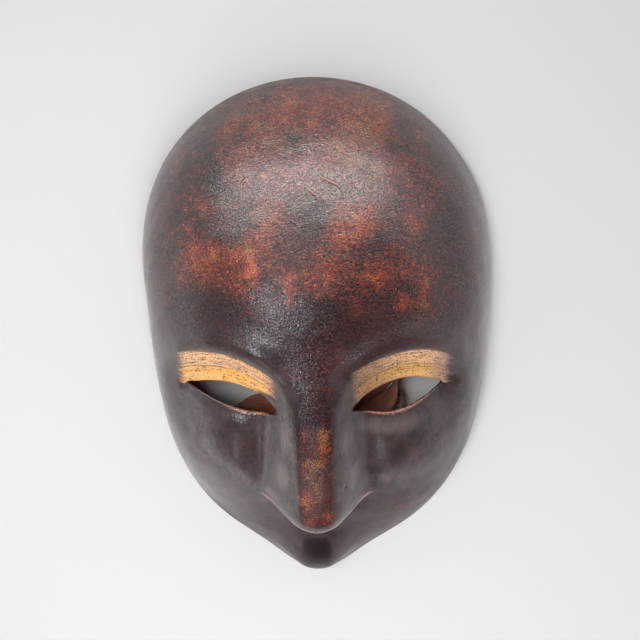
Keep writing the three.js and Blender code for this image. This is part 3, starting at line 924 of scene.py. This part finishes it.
def paint_fields(g):
    """The mesh's kinds of paint and noises of several grains. Object coordinates are in metres."""
    names = ("red", "gold", "dark", "calm", "pale", "blot", "nose", "matte", "side")
    f = SimpleNamespace(**{name: g.attribute(name) for name in names})
    f.here = g.coords()
    f.cloud = g.noise(f.here, 45)
    f.blotch = g.noise(g.coords(turn=(0.3, 0.8, 0.2)), 130, 3, 0.6)
    f.mottle = g.noise(g.coords(turn=(0.5, 0.2, 1.1)), 330, 3, 0.6)
    f.grain = g.noise(g.coords(turn=(0.9, 0.1, 0.5)), 1150, 2, 0.6)
    level = g.noise(g.coords(scale=(0.4, 1, 1), turn=(0.1, 0.2, 0.15)), 1650, 1, 0.5, 0.9)
    upright = g.noise(g.coords(scale=(1, 0.3, 1), turn=(0.1, 0.2, 0.1)), 1500, 2, 0.5, 0.7)
    f.fibre = level * (1 - f.nose) + upright * f.nose
    f.worm = g.noise(g.coords(turn=(1.4, 0.3, 0.2)), 850, 1, 0.5, 1.2)
    f.brush = g.noise(g.coords(scale=(0.8, 0.3, 1), turn=(0.1, 0.1, 0.7)), 380, 3, 0.55, 0.8)
    f.hue = g.noise(g.coords(turn=(0.2, 1.0, 0.6)), 210, 2)
    f.crack = g.ramp(g.cell_edge(f.here, 900), 0.03, 0.2)
    f.wiped = 1 - f.calm * 0.8
    f.right = g.ramp(f.side, -0.1, 0.1)
    return f


def ground(g, f):
    """Near-black aubergine, greyer and browner in clouds, under speckle and dabs."""
    colour = g.mix(g.ramp(f.cloud, 0.38, 0.66), (0.15, 0.055, 0.07), (0.27, 0.125, 0.115))
    colour = g.mix(g.ramp(f.grain, 0.50, 0.62) * 0.5, colour, (0.41, 0.205, 0.165))
    # On the wiped parts the ground is greyer: partly the paint's own tone, partly a painted sheen.
    smoky = g.mix(g.ramp(f.blotch, 0.35, 0.65), (0.19, 0.155, 0.165), (0.28, 0.235, 0.24))
    colour = g.mix(f.calm * 0.78, colour, smoky)
    # Painted sheen on the wiped parts: pale grey, broken up by brush noise, standing in for reflections.
    painted_sheen = f.pale * 0.8 + (f.brush - 0.5) * 0.5
    colour = g.mix(g.ramp(painted_sheen, 0.08, 0.8, 0.0, 0.9), colour, (0.47, 0.41, 0.405))
    # Speckle of maroon, then vermilion where it is thick. It is thinner from the eyes down, which lets the
    # painted sheen show on the nose's ridge.
    amount = (f.red - f.dark * 0.85) * 0.155 + (f.blotch - 0.5) * 0.34 + (f.mottle - 0.5) * 0.34
    wet = f.grain * 0.4 + f.fibre * 0.6 + amount
    rubbed = f.wiped * (1 - f.nose * 0.35)
    thin = g.ramp(wet, 0.49, 0.57) * rubbed
    thick = g.ramp(wet, 0.635, 0.81) * rubbed
    maroon = g.mix(g.ramp(f.red, 0.25, 0.9), (0.40, 0.155, 0.15), (0.57, 0.225, 0.16))
    vermilion = g.mix(g.ramp(f.hue, 0.38, 0.62), (0.80, 0.29, 0.16), (0.88, 0.44, 0.20))
    colour = g.mix(thick, g.mix(thin * 0.9, colour, maroon), vermilion)
    # On the wiped parts the red is a soft stain.
    stain = f.calm * g.ramp(f.red + (f.blotch - 0.5) * 1.2, 0.25, 1.3)
    colour = g.mix(stain * 0.5, colour, (0.42, 0.20, 0.19))
    # Ochre dabs on top, drawn as a fine net.
    net = 1 - abs(f.worm - 0.5) * 7.0
    dabs = (f.gold - f.dark * 0.7) * 0.30 + (f.hue - 0.5) * 0.9 + (f.mottle - 0.5) * 0.5 + net * 0.30
    colour = g.mix(g.ramp(dabs, 0.34, 0.62) * f.wiped * 0.68, colour, (0.70, 0.46, 0.26))
    # Painted dark reflection: the near-black patch under the nose.
    blot = f.blot + (f.mottle - 0.5) * 0.5
    colour = g.mix(g.ramp(blot, 0.2, 0.8, 0.0, 0.88), colour, (0.12, 0.06, 0.085))
    # Fine dark cracks.
    return g.mix((1 - f.crack) * f.wiped * 0.7, colour, (0.09, 0.055, 0.06))


def gold_lids(g, f, colour):
    """Upper lids brushed outward with a pale gold band over a yellower one.

    Returns the colour, the gold's cover and its brush hairs.
    """
    along, up, above = g.split(g.attribute("lid", "Vector"))

    def brushed(length, across, scale, detail):
        return g.noise(g.joined(along * length, up * across, f.side * 3.3), scale, detail, 0.6)

    strokes = brushed(2.2, 12.0, 1.7, 4)
    hairs = brushed(3.4, 40.0, 1.8, 3)
    ragged = (hairs - 0.5) * 0.36
    inner = g.fall(up, 0.1, 0.45) * g.choose(f.right, 0.17, 0.02)
    start = g.ramp(along + ragged * 0.5 - inner, -0.02, 0.05)
    stop = g.fall(along + ragged, 0.98, 1.06)
    foot = g.ramp(above, -0.9, -0.4)
    top = g.fall(up + (strokes - 0.5) * 0.3, 0.94, 1.05)
    band = start * stop * (foot * top)
    upper = g.ramp(up + (strokes - 0.5) * 0.25, 0.42, 0.54)
    cover = hairs * 0.55 + strokes * 0.25 + f.grain * 0.35
    covered = band * g.ramp(cover - (upper * 0.035 + 0.485), -0.02, 0.06)
    seam = g.fall(abs(up - 0.47), 0.0, 0.045) * g.ramp(strokes, 0.38, 0.5)
    covered = covered * (1 - seam * 0.75)
    lower_gold = g.mix(f.right, (0.98, 0.71, 0.35), (0.90, 0.67, 0.36))
    gilt = g.mix(upper, lower_gold, (0.95, 0.71, 0.50))
    gilt = g.mix(g.ramp(hairs, 0.5, 0.7) * 0.55, gilt, (1.0, 0.84, 0.58))
    # The inner ends are coppery, the right one far along. The right outer end is dull pink.
    copper = g.fall(along, 0.0, g.choose(f.right, 0.13, 0.72))
    gilt = g.mix(copper * 0.85, gilt, g.mix(f.right, (0.66, 0.48, 0.42), (0.55, 0.38, 0.26)))
    pink = f.right * g.ramp(along + strokes * 0.2, 0.86, 1.05)
    gilt = g.mix(pink * 0.75, gilt, (0.70, 0.53, 0.46))
    dots = f.fibre * 0.5 + f.grain * 0.5 - copper * 0.045
    gilt = g.mix(g.fall(dots, 0.38, 0.47) * 0.75, gilt, (0.50, 0.29, 0.14))
    gilt = g.mix(g.fall(dots, 0.33, 0.40) * 0.6, gilt, (0.20, 0.12, 0.09))
    return g.mix(covered, colour, gilt), covered, hairs * band


def lid_wear_and_nose_highlight(g, f, colour):
    """Rubbed gold along the lower lids, and a painted highlight: a pale line along the nose's lower edge.
    """
    share, below, nose_line = g.split(g.attribute("edges", "Vector"))
    off = below + (f.mottle - 0.5) * 2.2
    line = g.ramp(off, -1.4, -0.6) * g.fall(off, 0.5, 1.3)
    left_part = g.ramp(share, 0.06, 0.16) * g.fall(share, 0.42, 0.62)
    right_part = g.ramp(share, 0.10, 0.22) * g.fall(share, 0.5, 0.9)
    rub = line * g.choose(f.right, left_part, right_part) * g.ramp(f.grain + f.mottle * 0.6, 0.66, 0.84)
    rubbed_gold = g.mix(g.ramp(f.hue, 0.4, 0.6), (0.80, 0.50, 0.24), (0.74, 0.50, 0.42))
    colour = g.mix(rub * 0.9, colour, rubbed_gold)
    # Painted highlight: a pale pink line just above the nose's lower edge.
    nose_edge_highlight = g.ramp(nose_line, 0.35, 0.8) * g.fall(nose_line, 1.3, 2.4)
    return g.mix(nose_edge_highlight * g.ramp(f.mottle, 0.36, 0.5, 0.45, 0.8), colour, (0.80, 0.53, 0.49))


def face_point(x, v):
    """Object coordinates of a point of the face."""
    place = place_on_dome(np.array([float(x)]), np.array([float(v)]))
    return (outside(*place)[0] - MIDDLE) * 0.001


def near(g, f, start, end, width):
    """1 on the line from start to end on the face, 0 beyond the width, which tapers to the ends."""
    first = face_point(*start)
    way = face_point(*end) - first
    off = g.vector_math("SUBTRACT", f.here, tuple(first))
    share = g.vector_math("DOT_PRODUCT", off, tuple(way / (way @ way)), "Value")
    share = g.math("MINIMUM", g.math("MAXIMUM", share, 0.0), 1.0)
    gap = g.vector_math("DISTANCE", off, g.vector_math("SCALE", tuple(way), share), "Value")
    reach = (1 - abs(share - 0.5) * 1.5) * (width * 0.001)
    return g.fall(gap / reach, 0.0, 1.0)


def fold_highlights_chips_and_pit_shade(g, f, colour):
    """Painted highlights on the crests of the folds, chips, and painted shade in the nostril pits."""
    folds = 0.0
    for start, end, width in FOLDS:
        folds = g.math("MAXIMUM", folds, near(g, f, start, end, width))
    # Painted highlight along the crests of the raised folds.
    colour = g.mix(g.ramp(folds, 0.3, 0.8) * 0.8, colour, (0.80, 0.54, 0.48))
    for start, end, width in CHIPS:
        chip = near(g, f, start, end, width) * g.ramp(f.mottle, 0.42, 0.52)
        colour = g.mix(chip * 0.85, colour, (0.72, 0.40, 0.24))
    pits = 0.0
    for x, v in PITS:
        pits = g.math("MAXIMUM", pits, near(g, f, (x, v - 0.4), (x, v + 0.4), 1.0))
    # Painted shade: the nostril pits darkened.
    return g.mix(pits * 0.8, colour, (0.08, 0.05, 0.05))


def lacquer_material():
    m, g, shader = material("lacquer")
    f = paint_fields(g)
    colour, covered, hairs = gold_lids(g, f, ground(g, f))
    colour = fold_highlights_chips_and_pit_shade(g, f, lid_wear_and_nose_highlight(g, f, colour))
    rough = f.grain * 0.16 + 0.24 + covered * 0.15
    # Relief: paper lumps under the paint, grain, cracks and brush hairs.
    height = f.blotch * 0.30 + f.grain * 0.26 * f.wiped + f.fibre * 0.24 * f.wiped
    height = height + f.crack * 0.05 + hairs * 0.25
    normal = g.dress(shader, colour, rough, height, 0.75, 0.0006)
    # The varnish is thin on the speckle and nearly gone where the edge was handled.
    varnish = g.ramp(f.fibre * 0.55 + f.grain * 0.45, 0.40, 0.58, 0.45, 1.0) * (1 - f.matte * 0.9)
    for key, value in (("IOR", 1.5), ("Specular IOR Level", 0.36), ("Coat Weight", varnish),
                       ("Coat Roughness", 0.17), ("Coat IOR", 1.68), ("Coat Normal", normal)):
        g.feed(shader.inputs[key], value)
    return m


def satin_material():
    """Woven satin: fine lengthwise floats, a cord-like selvedge, and slight crease shading."""
    m, g, shader = material("satin")
    along, across, _ = g.split(g.attribute("weave", "Vector"))
    floats = g.noise(g.joined(along * 0.5, across * 7.0), 1.0, 2)
    creases = g.noise(g.joined(along * 0.09, across * 0.25), 1.0)
    edge = g.ramp(abs(across), TIE_WIDTH / 2 - 0.7, TIE_WIDTH / 2 - 0.2)
    colour = g.mix(g.ramp(floats, 0.35, 0.65), (0.63, 0.37, 0.31), (0.76, 0.48, 0.40))
    colour = g.mix(g.ramp(creases, 0.4, 0.62) * 0.5, colour, (0.89, 0.62, 0.52))
    colour = g.mix(edge * 0.6, colour, (0.60, 0.35, 0.295))
    height = floats * 0.25 + creases * 0.8 + edge * 0.35
    g.dress(shader, colour, floats * 0.14 + 0.30, height, 0.6, 0.0003)
    shader.inputs["Sheen Weight"].default_value = 0.15
    shader.inputs["Anisotropic"].default_value = 0.4
    return m


def lining_material():
    """Inside of the shell: torn paper strips under one coat of brown paint, plainer than the face."""
    m, g, shader = material("lining")
    strips = g.cell_edge(g.coords(scale=(1, 0.45, 1), turn=(0, 0, 0.5)), 55)
    patch = g.noise(g.coords(turn=(0.4, 0.7, 0.1)), 60, 3, 0.55)
    brush = g.noise(g.coords(scale=(1, 0.12, 1), turn=(0.2, 0.1, 0.3)), 700, 3, 0.6, 0.3)
    fibre = g.noise(g.coords(turn=(0.8, 0.2, 0.4)), 1400, 2, 0.6, 0.8)
    lap = g.ramp(strips, 0.0, 0.06)
    colour = g.mix(g.ramp(patch, 0.35, 0.68), (0.30, 0.20, 0.16), (0.41, 0.29, 0.225))
    colour = g.mix(g.ramp(brush, 0.40, 0.62) * 0.5, colour, (0.25, 0.155, 0.13))
    colour = g.mix(g.ramp(fibre, 0.55, 0.7) * 0.45, colour, (0.52, 0.40, 0.31))
    colour = g.mix((1 - lap) * 0.45, colour, (0.21, 0.13, 0.11))
    height = lap * 0.35 + brush * 0.25 + patch * 0.8 + fibre * 0.15
    g.dress(shader, colour, fibre * 0.2 + 0.55, height, 0.7, 0.0008)
    return m


satin = satin_material()
for name, tie in TIES.items():
    piece, length = tie_piece(name, tie)
    piece.data.materials.append(satin)
    print("tie", name, round(length, 1), "mm")

mask, mask_points = shell_piece()
paint_layers(mask.data, mask_points)
mask.data.materials.append(lacquer_material())
mask.data.materials.append(lining_material())
mask.data.materials.append(mask.data.materials[0])
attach(mask, "root")
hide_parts("mask_shell")
print("mask tris", len(mask.data.polygons))

# Floor, lights and surroundings.
floor_mesh = bpy.data.meshes.new("floor")
floor_mesh.from_pydata([(-3, -3, 0), (3, -3, 0), (3, 3, 0), (-3, 3, 0)], [], [(0, 1, 2, 3)])
floor = bpy.data.objects.new("floor", floor_mesh)
bpy.context.scene.collection.objects.link(floor)
floor_paint, _, floor_shader = material("floor")
floor_shader.inputs["Base Color"].default_value = (0.87, 0.87, 0.86, 1)
floor_shader.inputs["Roughness"].default_value = 0.7
floor_mesh.materials.append(floor_paint)


def area_light(name, azimuth, elevation, distance, aim, size, power, colour):
    """A light seen from the mask in that direction: azimuth 0 is toward the crown and 90 to the right."""
    light = bpy.data.lights.new(name, "AREA")
    light.shape = "RECTANGLE"
    light.size, light.size_y = size
    light.energy = power
    light.color = colour
    lamp = bpy.data.objects.new(name, light)
    a, e = math.radians(azimuth), math.radians(elevation)
    place = Vector((math.sin(a) * math.cos(e), math.cos(a) * math.cos(e), math.sin(e))) * distance
    lamp.location = place
    lamp.rotation_euler = (Vector(aim) - place).to_track_quat("-Z", "Y").to_euler()
    bpy.context.scene.collection.objects.link(lamp)
    return lamp


# These are seen in the lacquer: the window, its glow on the ceiling, a lamp, a doorway and a far corner.
for light in (
        ("window", -5, 29, 2.2, (0, 0.02, 0.04), (2.9, 0.42), 40, (1.0, 0.98, 0.95)),
        ("ceiling", -3, 60, 2.0, (0, 0, 0.04), (1.5, 0.8), 3.2, (1.0, 0.97, 0.94)),
        ("lamp", -87, 71, 1.2, (0, 0, 0.03), (0.22, 0.22), 2.6, (0.85, 0.92, 1.0)),
        ("doorway", -148, 44, 1.6, (0, 0, 0.03), (0.55, 0.4), 0.9, (0.94, 0.97, 1.0)),
        ("corner", 54, 28, 1.8, (0, 0, 0.03), (0.8, 0.8), 1.6, (1.0, 0.98, 0.96))):
    area_light(*light).visible_diffuse = False
# Two soft lights do the rest and stay out of the lacquer.
SOFT_WHITE = (1.0, 0.99, 0.975)
for light in (
        ("overhead", -80, 76, 0.58, (0, 0, 0), (0.2, 0.2), 1.4, SOFT_WHITE),
        ("front", 178, 43, 1.0, (0, 0, 0), (0.5, 0.5), 4.6, SOFT_WHITE)):
    area_light(*light).visible_glossy = False

world = bpy.data.worlds.new("world")
world.use_nodes = True
g = Graph(world.node_tree)
east, north, up = g.split(g.node("TexCoord", "Generated", {}))
shade = g.fall(north, -0.5, 0.1) * g.ramp(up, 0.15, 0.45)
level = g.ramp(up, 0.2, 0.95, 0.68, 0.2) * (1 - shade * 0.65)
# A pale wall stands low to the left and in front, and below the window it is dimmer.
wall = g.ramp(east * -0.77 + north * -0.64, 0.1, 0.8) * g.fall(up, 0.12, 0.34)
sill = g.ramp(north, 0.45, 0.95) * g.fall(up, 0.1, 0.3)
background = world.node_tree.nodes["Background"]
g.feed(background.inputs["Strength"], (level + wall * 0.9) * (1 - sill * 0.6))
background.inputs["Color"].default_value = (0.975, 0.99, 1.0, 1)
bpy.context.scene.world = world
bpy.context.scene.view_settings.view_transform = "Standard"
